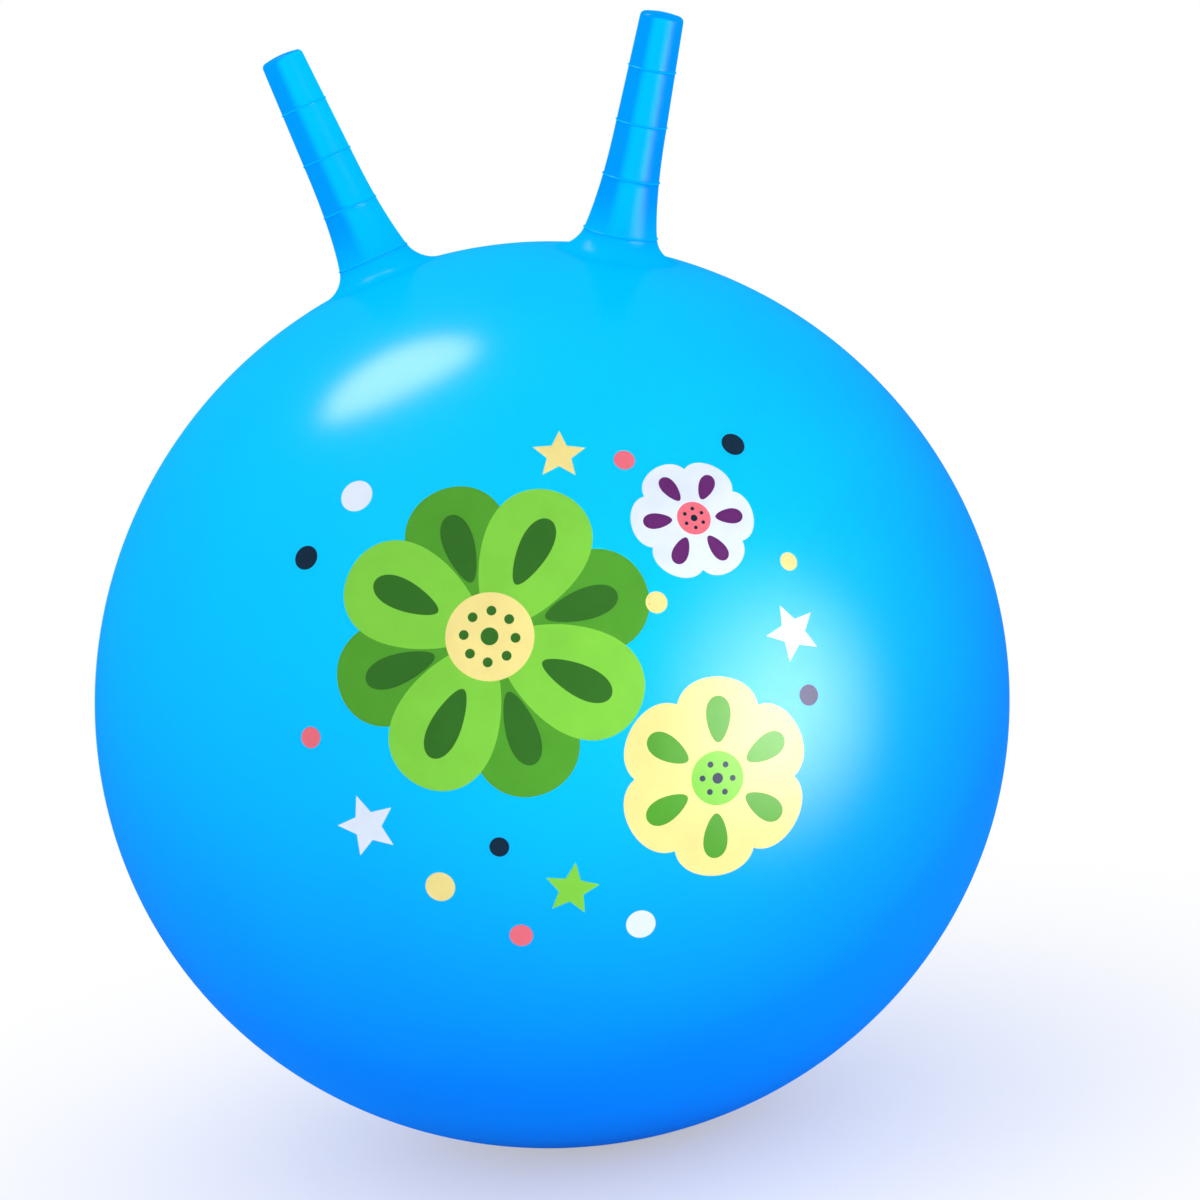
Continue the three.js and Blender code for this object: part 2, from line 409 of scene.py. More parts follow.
# Ball: rings about the valve's axis, so that the valve's hole is one of them
def ball_directions(angle):
    """Ring of directions at an angle from the valve's axis."""
    around = np.linspace(0, TURN, BALL_SEGMENTS, endpoint=False)
    across = math.sin(angle)
    along = np.full_like(around, math.cos(angle))
    return np.stack([across * np.cos(around), along, across * np.sin(around)], 1)


def make_ball():
    """Skin with an outside and an inside that meet at the valve's hole, and the mould ridge round it."""
    hole = math.asin(VALVE_HOLE_RADIUS / BALL_RADIUS)
    seam_reach = SEAM_REACH / BALL_RADIUS
    plain = np.linspace(hole, math.pi, BALL_ROWS, endpoint=False)
    plain = plain[np.abs(plain - QUARTER_TURN) > SEAM_CLEARANCE * seam_reach]
    seam = QUARTER_TURN + np.linspace(-seam_reach, seam_reach, SEAM_ROWS)
    outside_angles = np.sort(np.concatenate([plain, seam]))
    ridge = seam_height((outside_angles - QUARTER_TURN) * BALL_RADIUS)
    outside = [skin_points(ball_directions(a), lift) for a, lift in zip(outside_angles, ridge)]
    inside_angles = np.linspace(math.pi, hole, INSIDE_ROWS + 1)[1:]
    inside = [skin_points(ball_directions(a), -SKIN_THICKNESS) for a in inside_angles]
    inner_pole = skin_points([(0, -1, 0)], -SKIN_THICKNESS)[0]
    outer_pole = skin_points([(0, -1, 0)])[0]
    return solid_of_rings("ball_vinyl", [*inside, *outside], inner_pole, outer_pole)


# Horns
def skin_height(distance, turn):
    """Height of the skin along a horn's axis, at a distance from the axis and a turn about it."""
    across = distance * np.cos(turn) - HORN_AXIS_RISE * math.sin(HORN_TILT)
    aside = distance * np.sin(turn)
    radius = np.full_like(across, BALL_RADIUS)
    for _ in range(SEARCH_ROUNDS):
        along = np.sqrt(radius**2 - across**2 - aside**2)
        radius = skin_radius((along * math.cos(HORN_TILT) - across * math.sin(HORN_TILT)) / radius)
    return along - HORN_AXIS_RISE * math.cos(HORN_TILT)


HORN_BASE = float(skin_height(np.zeros(1), np.zeros(1))[0])


def quarter_ellipse(width, top, height):
    """Quarter of an ellipse, from nothing at its top to its full width at the foot."""
    drop = min(max((top - height) / (top - FOOT_LIFT), 0), 1)
    return width * (1 - math.sqrt(1 - drop**2))


def horn_radius(height):
    """Radius of a horn without its rings: a straight taper, the flare and the fillet at its foot."""
    taper = HORN_ROOT_RADIUS + (HORN_TIP_RADIUS - HORN_ROOT_RADIUS) * height / HORN_LENGTH
    flare = quarter_ellipse(FLARE_WIDTH, FLARE_HEIGHT, height)
    return taper + flare + quarter_ellipse(FILLET_WIDTH, FILLET_HEIGHT, height)


def flare_heights():
    """Heights up the flare, much closer together where it runs out into the skin."""
    angles = [QUARTER_TURN * (step / FLARE_STEPS) ** 2 for step in range(FLARE_STEPS + 1)]
    return [FOOT_LIFT + (FLARE_HEIGHT - FOOT_LIFT) * (1 - math.cos(a)) for a in angles]


# The stations of a horn each have a radius, a height and the share of a ring's height that they stand at
def tip_stations():
    """Stations over the slightly domed tip and round its edge."""
    flat = horn_radius(SHOULDER_HEIGHT) - TIP_EDGE
    crown = [(flat * s, HORN_LENGTH - TIP_CROWN * s * s, 0) for s in TIP_CROWN_SHARES]
    edge = [
        (flat + TIP_EDGE * math.sin(a), SHOULDER_HEIGHT + TIP_EDGE * math.cos(a), 0)
        for a in np.linspace(0, QUARTER_TURN, TIP_EDGE_STEPS)
    ]
    return [*crown, *edge]


def grip_stations():
    """Stations down the outside, from the tip's edge to the foot."""
    rings = [HORN_LENGTH - FIRST_RING_FROM_TIP - k * RING_PITCH for k in range(RING_COUNT)]
    heights = [*flare_heights(), *np.linspace(FLARE_HEIGHT, SHOULDER_HEIGHT, GRIP_STEPS)[1:-1]]
    plain = [(horn_radius(h), h, 0) for h in heights if all(abs(h - r) > RING_WIDTH / 2 for r in rings)]
    beads = []
    for share in np.linspace(-0.5, 0.5, RING_STEPS + 1):
        bead = (1 + math.cos(TURN * share)) / 2
        for height in (r + RING_WIDTH * share for r in rings):
            beads.append((horn_radius(height) + RING_HEIGHT * bead, height, bead))
    return sorted([*plain, *beads], key=lambda station: -station[1])


def bore_stations():
    """Stations up the bore."""
    heights = [0.0, *np.linspace(BORE_START, FLARE_HEIGHT, BORE_STEPS), HORN_LENGTH - TIP_THICKNESS]
    return [(horn_radius(h + HORN_WALL) - HORN_WALL, h, 0) for h in heights]


def horn_turns():
    """Turns round a horn, with the mould ridge's own rows on its two sides."""
    plain = np.linspace(0, TURN, HORN_SEGMENTS, endpoint=False) + math.pi / HORN_SEGMENTS
    seam_reach = SEAM_REACH / HORN_TIP_RADIUS
    seam = np.linspace(-seam_reach, seam_reach, SEAM_ROWS)
    plain = plain[np.abs(np.sin(plain)) > math.sin(SEAM_CLEARANCE * seam_reach)]
    return np.sort(np.concatenate([plain, seam % TURN, math.pi + seam]))


def make_horn(name, turn):
    """Hollow horn whose foot follows the skin. Its points keep the share of a ring's height for the rings'
    painted highlight.
    """
    turns = horn_turns()
    outside = [*tip_stations(), *grip_stations()]
    stations = [*outside, *bore_stations()]
    rings = []
    for index, (radius, height, _) in enumerate(stations):
        reach = np.full_like(turns, radius)
        fade = max(0.0, 1 - height / BLEND_HEIGHT) ** 2
        if index < len(outside):
            reach = reach + seam_height(radius * np.sin(turns)) * (1 - fade)
        sag = (skin_height(reach, turns) - HORN_BASE) * fade
        rings.append(np.stack([reach * np.cos(turns), reach * np.sin(turns), HORN_BASE + height + sag], 1))
    tip = (0, 0, HORN_BASE + HORN_LENGTH)
    bore_end = (0, 0, HORN_BASE + HORN_LENGTH - TIP_THICKNESS)
    horn = solid_of_rings(name, rings, tip, bore_end, HORN_SMOOTH_ANGLE)
    beads = [0, *np.repeat([bead for _, _, bead in stations], len(turns)), 0]
    horn.data.attributes.new("bead", "FLOAT", "POINT").data.foreach_set("value", beads)
    place = (
        Matrix.Translation(BALL_CENTRE)
        @ Matrix.Rotation(turn, 4, "Z")
        @ Matrix.Translation((0, 0, HORN_AXIS_RISE))
        @ Matrix.Rotation(HORN_TILT, 4, "Y")
    )
    horn.data.transform(place)
    return horn


# Valve and stopper, revolved about the valve's axis
VALVE_CENTRE = BALL_CENTRE + Vector((0, BALL_RADIUS, 0))
VALVE_PLACE = Matrix.Translation(VALVE_CENTRE) @ Matrix.Rotation(-QUARTER_TURN, 4, "X")


def arc(middle_radius, middle_height, radius, start, end, steps=ARC_STEPS):
    """Points of an arc as radius and height, from start to end in degrees from the outward direction."""
    return [
        (middle_radius + radius * math.cos(a), middle_height + radius * math.sin(a))
        for a in np.radians(np.linspace(start, end, steps))
    ]


def valve_rings(outline):
    """Rings of points about the valve's axis, one for each radius and height of an outline."""
    around = np.linspace(0, TURN, VALVE_SEGMENTS, endpoint=False)
    circle = np.stack([np.cos(around), np.sin(around), np.zeros_like(around)], 1)
    return [radius * circle + (0, 0, height) for radius, height in outline]


def fall_away(distance):
    """How far the skin falls away at a distance from the valve's axis."""
    return BALL_RADIUS - math.sqrt(BALL_RADIUS**2 - distance**2)


def valve_bore_radius(height):
    """Radius of the valve's tapered bore."""
    share = (FLANGE_TOP - height) / (FLANGE_TOP + SLEEVE_LENGTH)
    return BORE_MOUTH_RADIUS + (BORE_END_RADIUS - BORE_MOUTH_RADIUS) * share


def make_valve_seat():
    """Sleeve with a flange on the skin, and a groove in the flange round the stopper's head."""
    rounding = VALVE_ROUNDING
    groove = PLUG_HEAD_RADIUS + rounding
    rim = fall_away(FLANGE_RADIUS)
    flange_side = FLANGE_RADIUS - FLANGE_ROUNDING
    outline = [
        *arc(BORE_MOUTH_RADIUS + rounding, FLANGE_TOP - rounding, rounding, 180, 90),
        (groove, FLANGE_TOP - GROOVE_DROP),
        *arc(groove + rounding, FLANGE_TOP - rounding, rounding, 180, 360, GROOVE_STEPS),
        *arc(flange_side, FLANGE_TOP - rim - FLANGE_ROUNDING, FLANGE_ROUNDING, 80, 0),
        (FLANGE_RADIUS, -rim - FLANGE_SINK),
        (SLEEVE_RADIUS, SLEEVE_TOP),
        *arc(SLEEVE_RADIUS - rounding, -SLEEVE_LENGTH + rounding, rounding, 0, -90),
        (BORE_END_RADIUS, -SLEEVE_LENGTH),
    ]
    seat = loop_of_rings("valve_seat_vinyl", valve_rings(outline))
    seat.data.transform(VALVE_PLACE)
    return seat


def make_plug():
    """Stopper, with its shank a gap clear of the valve's bore."""
    nose = PLUG_HEAD_SEAT - PLUG_SHANK_LENGTH
    head_side = PLUG_HEAD_RADIUS - PLUG_EDGE

    def shank(height):
        return valve_bore_radius(height) - PLUG_GAP

    shank_heights = np.linspace(nose + SHANK_START, PLUG_HEAD_SEAT - PLUG_EDGE, SHANK_STEPS)
    outline = [
        *arc(shank(nose) - NOSE_ROUNDING, nose + NOSE_ROUNDING, NOSE_ROUNDING, -90, 0),
        *[(shank(h), h) for h in shank_heights],
        *arc(shank(PLUG_HEAD_SEAT) + PLUG_FILLET, PLUG_HEAD_SEAT - PLUG_FILLET, PLUG_FILLET, 180, 90),
        *arc(head_side, PLUG_HEAD_SEAT + PLUG_EDGE, PLUG_EDGE, -90, 0),
        *arc(head_side, PLUG_HEAD_TOP - PLUG_EDGE, PLUG_EDGE, 0, 100),
        *arc(PLUG_HEAD_RADIUS - DISH_INSET, PLUG_HEAD_TOP, DISH_DEPTH, -10, -90),
        (BORE_MOUTH_RADIUS, PLUG_HEAD_TOP - DISH_DEPTH),
        *arc(BOSS_RADIUS, BOSS_TOP - BOSS_ROUNDING, BOSS_ROUNDING, 35, 90),
    ]
    plug = solid_of_rings("stopper", valve_rings(outline), (0, 0, nose), (0, 0, BOSS_TOP))
    plug.data.transform(VALVE_PLACE)
    return plug


# Print: flowers, stars and dots in thin layers of ink, measured right and up from the print's middle
PRINT_OUT, PRINT_RIGHT = (np.array(axis) for axis in facing_axes(PRINT_AZIMUTH, PRINT_ELEVATION))
PRINT_UP = np.cross(PRINT_OUT, PRINT_RIGHT)


def on_skin(flat, lift):
    """Points of the skin under flat points of the print, with distances kept from the print's middle."""
    angle = np.linalg.norm(flat, axis=-1, keepdims=True) / BALL_RADIUS
    share = np.sinc(angle / math.pi) / BALL_RADIUS
    aside = flat[..., :1] * PRINT_RIGHT + flat[..., 1:] * PRINT_UP
    return skin_points(aside * share + np.cos(angle) * PRINT_OUT, lift)


def ink(middle, edge, layer):
    """Film of ink from its middle to its edge, with its underside in the skin."""
    reach = np.linalg.norm(edge, axis=1).max()
    shares = np.linspace(0, 1, math.ceil(reach / INK_MESH) + 1)[1:]
    lift = INK_LIFT + layer * INK_LAYER
    top = [on_skin(middle + edge * share, lift) for share in shares]
    under = [on_skin(middle + edge * share, -INK_DEPTH) for share in shares[::-1]]
    return ring_solid([*top, *under], on_skin(middle, lift), on_skin(middle, -INK_DEPTH))


def turned(points, turn):
    """Flat points turned about their origin."""
    cosine, sine = math.cos(turn), math.sin(turn)
    return points @ np.array(((cosine, sine), (-sine, cosine)))


def towards(angle):
    """Flat unit direction at an angle."""
    return np.array((math.cos(angle), math.sin(angle)))


def dot(radius):
    """Edge of a round dot."""
    angle = np.linspace(0, TURN, DOT_POINTS, endpoint=False)
    return radius * np.stack([np.cos(angle), np.sin(angle)], 1)


def star(radius, turn):
    """Edge of a star, with straight sides of a few steps each."""
    numbers = np.arange(2 * STAR_POINTS + 1)
    angles = numbers * math.pi / STAR_POINTS
    reach = radius * np.where(numbers % 2, STAR_INNER_SHARE, 1.0)
    corners = np.stack([reach * np.sin(angles), reach * np.cos(angles)], 1)
    steps = np.arange(STAR_SIDE_STEPS) / STAR_SIDE_STEPS
    sides = [start + (end - start) * step for start, end in zip(corners, corners[1:]) for step in steps]
    return turned(np.array(sides), turn)


def petal(length, width, turn):
    """Edge of a petal about its own middle, broadest towards its outer end."""
    angle = np.linspace(0, TURN, PETAL_POINTS, endpoint=False)
    along = -length / 2 * np.cos(angle)
    aside = width / 2 * np.sin(angle) * (1 - PETAL_TAPER - PETAL_TAPER * np.cos(angle))
    return turned(np.stack([along, aside], 1), turn)


def add_flower(inks, middle, radius, count, turn, colours):
    """Adds a flower of petals with a streak in each, and a round eye with seeds."""
    even_petals, odd_petals, streaks, eyes, seeds = (inks[colour] for colour in colours)
    eye = EYE_SHARE * radius
    length = radius - PETAL_START * eye
    width = PETAL_WIDTH * radius * math.sin(math.pi / count)
    for k in range(count):
        angle = turn + TURN * k / count
        odd = k % 2
        petals = odd_petals if odd else even_petals
        petal_middle = middle + towards(angle) * (radius - length / 2)
        petals.append(ink(petal_middle, petal(length, width, angle), odd))
        streak_middle = middle + towards(angle) * (eye + STREAK_PLACE * length)
        streak = petal(STREAK_LENGTH * length, STREAK_WIDTH * width, angle)
        streaks.append(ink(streak_middle, streak, STREAK_LAYER))
    eyes.append(ink(middle, dot(eye), EYE_LAYER))
    for k in range(count):
        seed_middle = middle + towards(turn + TURN * (k + 0.5) / count) * SEED_PLACE * eye
        seeds.append(ink(seed_middle, dot(SEED_SHARE * eye), SEED_LAYER))
    seeds.append(ink(middle, dot(MIDDLE_SEED_SHARE * eye), SEED_LAYER))


def make_print():
    """Films of ink by the name of their colour."""
    inks = {name: [] for name in INK_COLOURS}
    for middle, radius, count, turn, colours in FLOWERS:
        add_flower(inks, np.array(middle) * MM, radius * MM, count, turn, colours)
    for middle, radius, turn, colour in STARS:
        inks[colour].append(ink(np.array(middle) * MM, star(radius * MM, math.radians(turn)), 0))
    for middle, radius, colour in DOTS:
        inks[colour].append(ink(np.array(middle) * MM, dot(radius * MM), 0))
    return inks


# Materials
def new_material(name):
    """Material with its nodes, its links and its shader."""
    material = bpy.data.materials.new(name)
    material.use_nodes = True
    nodes = material.node_tree.nodes
    return material, nodes, material.node_tree.links, nodes["Principled BSDF"]


def noise(nodes, links, coordinates, scale, detail=NOISE_DETAIL):
    """Value of a noise, which mostly lies in NOISE_RANGE."""
    texture = nodes.new("ShaderNodeTexNoise")
    texture.inputs["Scale"].default_value = scale
    texture.inputs["Detail"].default_value = detail
    links.new(coordinates, texture.inputs["Vector"])
    return texture.outputs["Fac"]


def spread(nodes, links, value, low, high):
    """Maps a noise to the range from low to high."""
    node = nodes.new("ShaderNodeMapRange")
    node.inputs["From Min"].default_value = NOISE_RANGE[0]
    node.inputs["From Max"].default_value = NOISE_RANGE[1]
    node.inputs["To Min"].default_value = low
    node.inputs["To Max"].default_value = high
    links.new(value, node.inputs["Value"])
    return node.outputs["Result"]


def smooth_share(nodes, links, value, low, high):
    """Share from 0 to 1 as a value goes from low to high."""
    share = nodes.new("ShaderNodeMapRange")
    share.interpolation_type = "SMOOTHSTEP"
    share.inputs["From Min"].default_value = low
    share.inputs["From Max"].default_value = high
    links.new(value, share.inputs["Value"])
    return share.outputs["Result"]


def mixed(nodes, links, share, first, second):
    """Mix of two colours, each a colour or the output of a node."""
    mix = nodes.new("ShaderNodeMix")
    mix.data_type = "RGBA"
    links.new(share, mix.inputs[0])
    # Inputs 6 and 7 are the node's two colours, and output 2 is their mix
    for socket, colour in ((mix.inputs[6], first), (mix.inputs[7], second)):
        if isinstance(colour, tuple):
            socket.default_value = (*colour, 1)
        else:
            links.new(colour, socket)
    return mix.outputs[2]


def tinted(nodes, links, colour, value):
    """The colour made lighter or darker by a value near 1."""
    node = nodes.new("ShaderNodeVectorMath")
    node.operation = "SCALE"
    links.new(colour, node.inputs[0])
    links.new(value, node.inputs["Scale"])
    return node.outputs["Vector"]


def add_haze(nodes, links, shader, place, scale, roughness, haze):
    """Roughness that varies a little over the surface."""
    low, high = haze
    value = spread(nodes, links, noise(nodes, links, place, scale), roughness + low, roughness + high)
    links.new(value, shader.inputs["Roughness"])


def add_grain(nodes, links, shader, place, scale, strength):
    """Fine grain in the surface and in its gloss."""
    bump = nodes.new("ShaderNodeBump")
    bump.inputs["Distance"].default_value = GRAIN_DEPTH
    bump.inputs["Strength"].default_value = strength
    links.new(noise(nodes, links, place, scale, GRAIN_DETAIL), bump.inputs["Height"])
    links.new(bump.outputs["Normal"], shader.inputs["Normal"])
    links.new(bump.outputs["Normal"], shader.inputs["Coat Normal"])


def add_gloss(shader, share, roughness):
    """Thin even gloss, which stays as weak at the rim of the ball as at its middle."""
    shader.inputs["Specular IOR Level"].default_value = 0.0
    shader.inputs["Coat Weight"].default_value = share
    shader.inputs["Coat Roughness"].default_value = roughness
    shader.inputs["Coat IOR"].default_value = GLOSS_IOR


def skin_colour_and_painted_shade(nodes, links, place):
    """Painted shade and light: cyan over the front and top of the ball, which face the light, deeper below and
    behind.
    """
    along = nodes.new("ShaderNodeVectorMath")
    along.operation = "DOT_PRODUCT"
    along.inputs[1].default_value = PAINTED_LIGHT_SIDE
    links.new(place, along.inputs[0])
    share = nodes.new("ShaderNodeMapRange")
    share.inputs["From Min"].default_value = PAINTED_LIGHT_SIDE.dot(BALL_CENTRE) - BALL_RADIUS
    share.inputs["From Max"].default_value = PAINTED_LIGHT_SIDE.dot(BALL_CENTRE) + BALL_RADIUS
    links.new(along.outputs["Value"], share.inputs["Value"])
    ramp = nodes.new("ShaderNodeValToRGB")
    ramp.color_ramp.interpolation = "CARDINAL"
    elements = ramp.color_ramp.elements
    for position, _ in SKIN_PAINTED_SHADE_STOPS[len(elements):]:
        elements.new(position)
    for element, (position, colour) in zip(elements, SKIN_PAINTED_SHADE_STOPS):
        element.position = position
        element.color = (*colour, 1)
    links.new(share.outputs["Result"], ramp.inputs["Fac"])
    return ramp.outputs["Color"]


def horn_colour(side):
    """The skin's colour and painted shade at the foot of a horn, and above it azure with a cyan band of
    painted light and rings painted paler as a highlight.
    """
    azimuth, fade_start, fade_end = (math.radians(angle) for angle in HORN_PAINTED_LIGHT_BANDS[side])
    blue_start = BALL_RADIUS + HORN_BLUE_HEIGHT

    def colour(nodes, links, place):
        # Painted light: the horn turns cyan where its normal faces the light's azimuth
        facing = nodes.new("ShaderNodeVectorMath")
        facing.operation = "DOT_PRODUCT"
        facing.inputs[1].default_value = (math.sin(azimuth), -math.cos(azimuth), 0)
        links.new(nodes.new("ShaderNodeTexCoord").outputs["Normal"], facing.inputs[0])
        band = smooth_share(nodes, links, facing.outputs["Value"], math.cos(fade_end), math.cos(fade_start))
        height = nodes.new("ShaderNodeVectorMath")
        height.operation = "DISTANCE"
        height.inputs[1].default_value = BALL_CENTRE
        links.new(place, height.inputs[0])
        above = smooth_share(nodes, links, height.outputs["Value"], BALL_RADIUS, blue_start)
        horn = mixed(nodes, links, band, HORN_BLUE, HORN_PAINTED_LIGHT_CYAN)
        # The beads of the rings are painted paler, as a highlight where light catches them
        bead = nodes.new("ShaderNodeAttribute")
        bead.attribute_name = "bead"
        ringed = mixed(nodes, links, bead.outputs["Fac"], horn, HORN_BEAD_PAINTED_HIGHLIGHT)
        return mixed(nodes, links, above, skin_colour_and_painted_shade(nodes, links, place), ringed)

    return colour


def vinyl(name, colour, gloss):
    """Thin coloured vinyl with a faint grain and mottle."""
    material, nodes, links, shader = new_material(name)
    place = nodes.new("ShaderNodeTexCoord").outputs["Object"]
    mottle = spread(nodes, links, noise(nodes, links, place, VINYL_MOTTLE_SCALE), *VINYL_MOTTLE)
    links.new(tinted(nodes, links, colour(nodes, links, place), mottle), shader.inputs["Base Color"])
    add_haze(nodes, links, shader, place, VINYL_HAZE_SCALE, VINYL_ROUGHNESS, VINYL_HAZE)
    add_grain(nodes, links, shader, place, VINYL_GRAIN_SCALE, VINYL_GRAIN_STRENGTH)
    add_gloss(shader, gloss, VINYL_ROUGHNESS)
    return material


def moulded(name, colour, roughness, mottle_scale, gloss):
    """Plain plastic or ink with a slight mottle and a fine grain."""
    material, nodes, links, shader = new_material(name)
    place = nodes.new("ShaderNodeTexCoord").outputs["Object"]
    ramp = nodes.new("ShaderNodeValToRGB")
    for element, position, strength in zip(ramp.color_ramp.elements, NOISE_RANGE, MOULDED_MOTTLE):
        element.position = position
        element.color = (*(min(1.0, strength * channel) for channel in colour), 1)
    links.new(noise(nodes, links, place, mottle_scale), ramp.inputs["Fac"])
    links.new(ramp.outputs["Color"], shader.inputs["Base Color"])
    add_haze(nodes, links, shader, place, MOULDED_HAZE_SCALE, roughness, MOULDED_HAZE)
    add_grain(nodes, links, shader, place, MOULDED_GRAIN_SCALE, MOULDED_GRAIN_STRENGTH)
    add_gloss(shader, gloss, roughness)
    return material


skin_vinyl = vinyl("skin_vinyl", skin_colour_and_painted_shade, VINYL_GLOSS)
right_horn_vinyl = vinyl("right_horn_vinyl", horn_colour("right"), HORN_GLOSS)
left_horn_vinyl = vinyl("left_horn_vinyl", horn_colour("left"), HORN_GLOSS)
valve_vinyl = moulded("valve_vinyl", VALVE_COLOUR, VALVE_ROUGHNESS, VALVE_MOTTLE_SCALE, VALVE_GLOSS)
plug_plastic = moulded("plug_plastic", PLUG_COLOUR, PLUG_ROUGHNESS, VALVE_MOTTLE_SCALE, PLUG_GLOSS)


# Pieces, each with its material and its place in the frame
def dress(piece, material, body, node):
    """Gives a piece its material and ties it to the solid that it stands for."""
    piece.data.materials.append(material)
    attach(piece, body)
    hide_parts(node)


dress(make_ball(), skin_vinyl, "ball", "ball_skin")
dress(make_horn("right_horn_vinyl", 0.0), right_horn_vinyl, "ball", "right_horn")
dress(make_horn("left_horn_vinyl", math.pi), left_horn_vinyl, "ball", "left_horn")
dress(make_valve_seat(), valve_vinyl, "ball", "valve_seat")
dress(make_plug(), plug_plastic, "stopper", "valve_plug")
for ink_name, films in make_print().items():
    film = joined(f"print_{ink_name}", films)
    ink_colour = INK_COLOURS[ink_name]
    ink_finish = moulded(f"ink_{ink_name}", ink_colour, VINYL_ROUGHNESS, INK_MOTTLE_SCALE, VINYL_GLOSS)
    film.data.materials.append(ink_finish)
    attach(film, "ball")


# Camera: looks at the ball so that its centre lands on the photograph's pixel
def make_camera():
    """Adds the camera and returns its right, up and back as they are when it looks straight at the ball."""
    back, level_right = (Vector(axis) for axis in facing_axes(CAMERA_AZIMUTH, CAMERA_ELEVATION))
    level_up = back.cross(level_right)
    right = level_right * math.cos(CAMERA_ROLL) + level_up * math.sin(CAMERA_ROLL)
    up = level_up * math.cos(CAMERA_ROLL) - level_right * math.sin(CAMERA_ROLL)
    straight = Matrix((right, up, back)).transposed()
    across = (BALL_CENTRE_PIXEL[0] - PHOTO_SIZE / 2) / FOCAL_PIXELS
    above = (PHOTO_SIZE / 2 - BALL_CENTRE_PIXEL[1]) / FOCAL_PIXELS
    aim = Vector((across, above, -1)).rotation_difference(Vector((0, 0, -1))).to_matrix()
    data = bpy.data.cameras.new("camera")
    data.sensor_width = SENSOR_WIDTH
    data.lens = SENSOR_WIDTH * FOCAL_PIXELS / PHOTO_SIZE
    camera = bpy.data.objects.new("camera", data)
    camera.matrix_world = Matrix.Translation(BALL_CENTRE + back * CAMERA_DISTANCE) @ (straight @ aim).to_4x4()
    bpy.context.scene.collection.objects.link(camera)
    bpy.context.scene.camera = camera
    return straight


VIEW_AXES = make_camera()


# Light: an even white room, a weak key and fill, and two soft boxes that only show as reflections
def reflected(pixel):
    """Place of a light, from the ball's centre, that the skin mirrors to the camera at a pixel."""
    across = (pixel[0] - BALL_CENTRE_PIXEL[0]) / FOCAL_PIXELS
    above = (BALL_CENTRE_PIXEL[1] - pixel[1]) / FOCAL_PIXELS
    camera = Vector((0, 0, CAMERA_DISTANCE))
    ray = Vector((across, above, -1)).normalized()
    nearest = -camera.dot(ray)
    depth = math.sqrt(BALL_RADIUS**2 - (camera + nearest * ray).length_squared)
    place = camera + (nearest - depth) * ray
    return place + ray.reflect(place) * GLOSS_REACH


def soft_box(name, place, along, size, watts):
    """Area light that faces the ball. Place and along are in the camera's right, up and back."""
    data = bpy.data.lights.new(name, "AREA")
    data.shape = "ELLIPSE"
    data.size = size[0]
    data.size_y = size[1]
    data.energy = watts
    lamp = bpy.data.objects.new(name, data)
    back = (VIEW_AXES @ place).normalized()
    side = VIEW_AXES @ along
    side = (side - back * side.dot(back)).normalized()
    facing = Matrix((side, back.cross(side), back)).transposed()
    lamp.matrix_world = Matrix.Translation(BALL_CENTRE + VIEW_AXES @ place) @ facing.to_4x4()
    lamp.visible_camera = False
    bpy.context.scene.collection.objects.link(lamp)
    return lamp


def fade_to_edge(light):
    """Makes a soft box brightest in its middle, with nothing left at its edge."""
    middle = (0.5, 0.5, 0)
    edge_distance = 0.5
    light.use_nodes = True
    nodes = light.node_tree.nodes
    links = light.node_tree.links
    distance = nodes.new("ShaderNodeVectorMath")
    distance.operation = "DISTANCE"
    distance.inputs[1].default_value = middle
    links.new(nodes.new("ShaderNodeNewGeometry").outputs["Parametric"], distance.inputs[0])
    share = smooth_share(nodes, links, distance.outputs["Value"], edge_distance, 0)
    squared = nodes.new("ShaderNodeMath")
    squared.operation = "MULTIPLY"
    links.new(share, squared.inputs[0])
    links.new(share, squared.inputs[1])
    links.new(squared.outputs["Value"], nodes["Emission"].inputs["Strength"])


def show_through(lamp, floor):
    """Lets the ball mirror the part of a soft box that the floor would hide."""
    blockers = bpy.data.collections.new(f"{lamp.name}_blockers")
    blockers.objects.link(floor)
    blockers.collection_objects[0].light_linking.link_state = "EXCLUDE"
    lamp.light_linking.blocker_collection = blockers


def make_light(floor):
    """Adds the two soft boxes, the key and the fill."""
    across = Vector((1, 0, 0))
    strip_start, strip_end = (reflected(pixel) for pixel in STRIP_ENDS)
    strip_along = strip_end - strip_start
    strip = soft_box("upper_left_strip", reflected(STRIP_PIXEL), strip_along, STRIP_SIZE, STRIP_WATTS)
    glow = soft_box("right_glow", reflected(GLOW_PIXEL), across, GLOW_SIZE, GLOW_WATTS)
    fade_to_edge(glow.data)
    show_through(glow, floor)
    for lamp in (strip, glow):
        lamp.visible_diffuse = False
        lamp.data.color = GLOSS_TINT
    key = soft_box("key", KEY_PLACE, across, KEY_SIZE, KEY_WATTS)
    fill = soft_box("fill", FILL_PLACE, across, FILL_SIZE, FILL_WATTS)
    fill.data.spread = FILL_SPREAD
    for lamp in (key, fill):
        lamp.visible_glossy = False


def make_world():
    """Surrounds everything with even white light."""
    world = bpy.data.worlds.new("white_room")
    bpy.context.scene.world = world
    world.use_nodes = True
    world.node_tree.nodes["Background"].inputs["Color"].default_value = (1, 1, 1, 1)
    world.node_tree.nodes["Background"].inputs["Strength"].default_value = 1.0


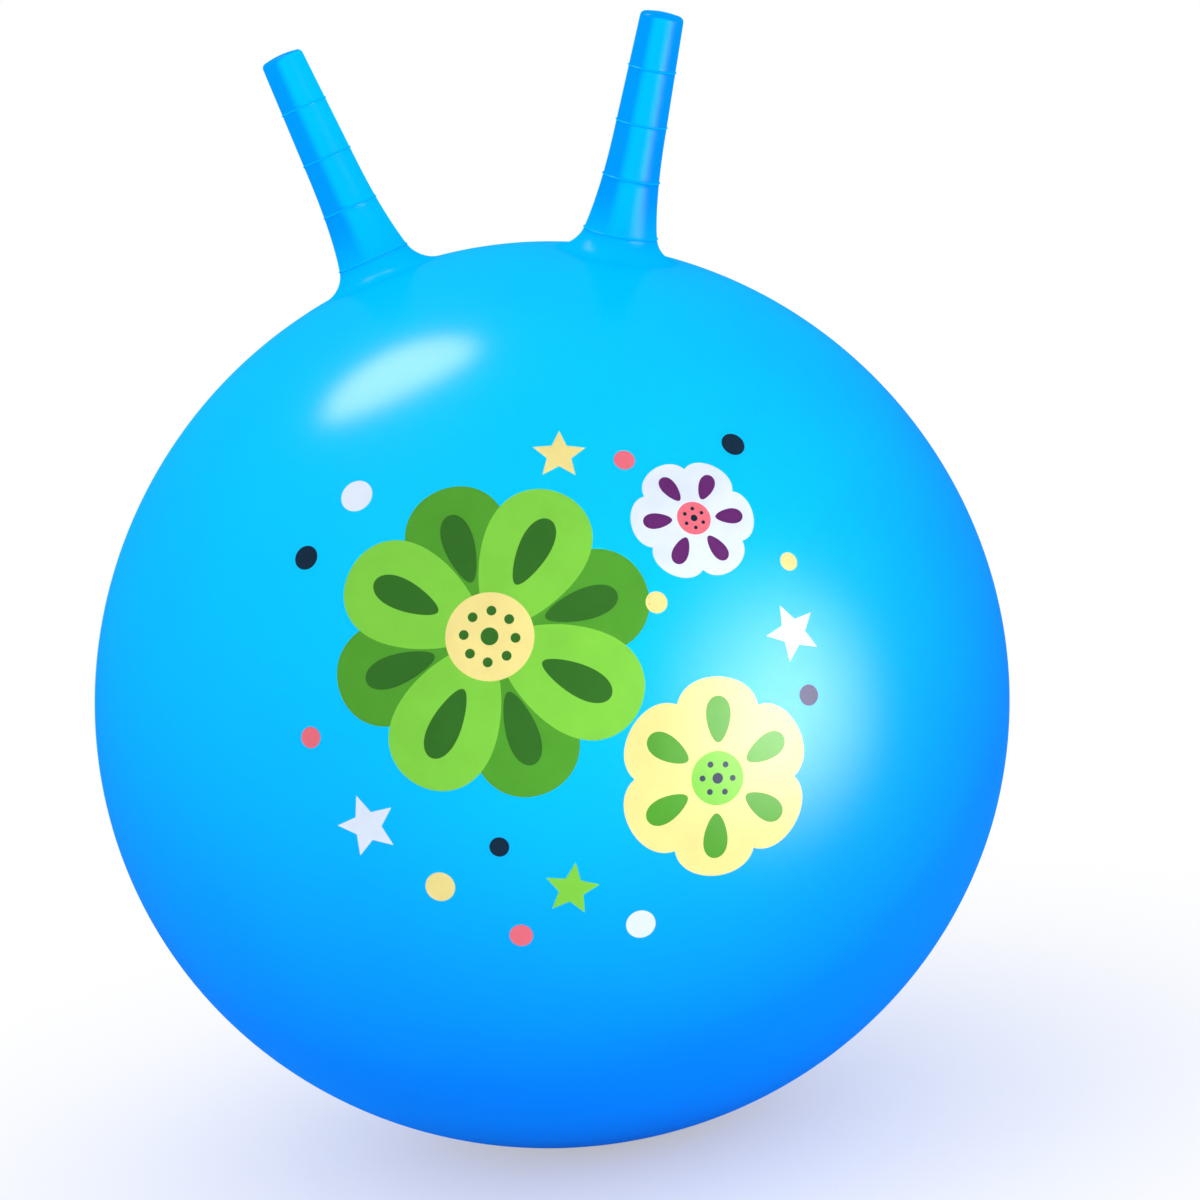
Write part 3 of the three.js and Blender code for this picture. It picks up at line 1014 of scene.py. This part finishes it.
# Floor: keeps the ball's shadow and fades into the white room away from it
def seen_directly(nodes, links):
    """1 for rays from the camera and those that gloss or clear pieces send on, and 0 for the rest."""
    rays = nodes.new("ShaderNodeLightPath")
    seen = rays.outputs["Is Camera Ray"]
    for ray in ("Is Glossy Ray", "Is Transmission Ray"):
        either = nodes.new("ShaderNodeMath")
        either.operation = "MAXIMUM"
        links.new(seen, either.inputs[0])
        links.new(rays.outputs[ray], either.inputs[1])
        seen = either.outputs["Value"]
    return seen


def floor_material():
    """Pale floor, mixed with a plain white that grows with the distance from the ball."""
    material, nodes, links, shader = new_material("pale_floor")
    shader.inputs["Base Color"].default_value = (*FLOOR_COLOUR, 1)
    shader.inputs["Roughness"].default_value = FLOOR_ROUGHNESS
    shader.inputs["Specular IOR Level"].default_value = 0.0
    distance = nodes.new("ShaderNodeVectorMath")
    distance.operation = "LENGTH"
    links.new(nodes.new("ShaderNodeTexCoord").outputs["Object"], distance.inputs[0])
    fade = nodes.new("ShaderNodeMapRange")
    fade.interpolation_type = "SMOOTHSTEP"
    fade.inputs["From Min"].default_value = SHADOW_START
    fade.inputs["From Max"].default_value = SHADOW_END
    fade.inputs["To Min"].default_value = FLOOR_WHITE
    links.new(distance.outputs["Value"], fade.inputs["Value"])
    share = nodes.new("ShaderNodeMath")
    share.operation = "MULTIPLY"
    links.new(seen_directly(nodes, links), share.inputs[0])
    links.new(fade.outputs["Result"], share.inputs[1])
    mix = nodes.new("ShaderNodeMixShader")
    links.new(share.outputs["Value"], mix.inputs["Fac"])
    links.new(shader.outputs["BSDF"], mix.inputs[1])
    links.new(nodes.new("ShaderNodeEmission").outputs["Emission"], mix.inputs[2])
    links.new(mix.outputs["Shader"], nodes["Material Output"].inputs["Surface"])
    return material


def make_floor():
    """Adds the floor under the ball."""
    bpy.ops.mesh.primitive_plane_add(size=FLOOR_SIZE, location=(0, 0, 0))
    floor = bpy.context.object
    floor.name = "floor"
    floor.data.materials.append(floor_material())
    return floor


make_world()
make_light(make_floor())

bpy.context.scene.view_settings.view_transform = "Standard"
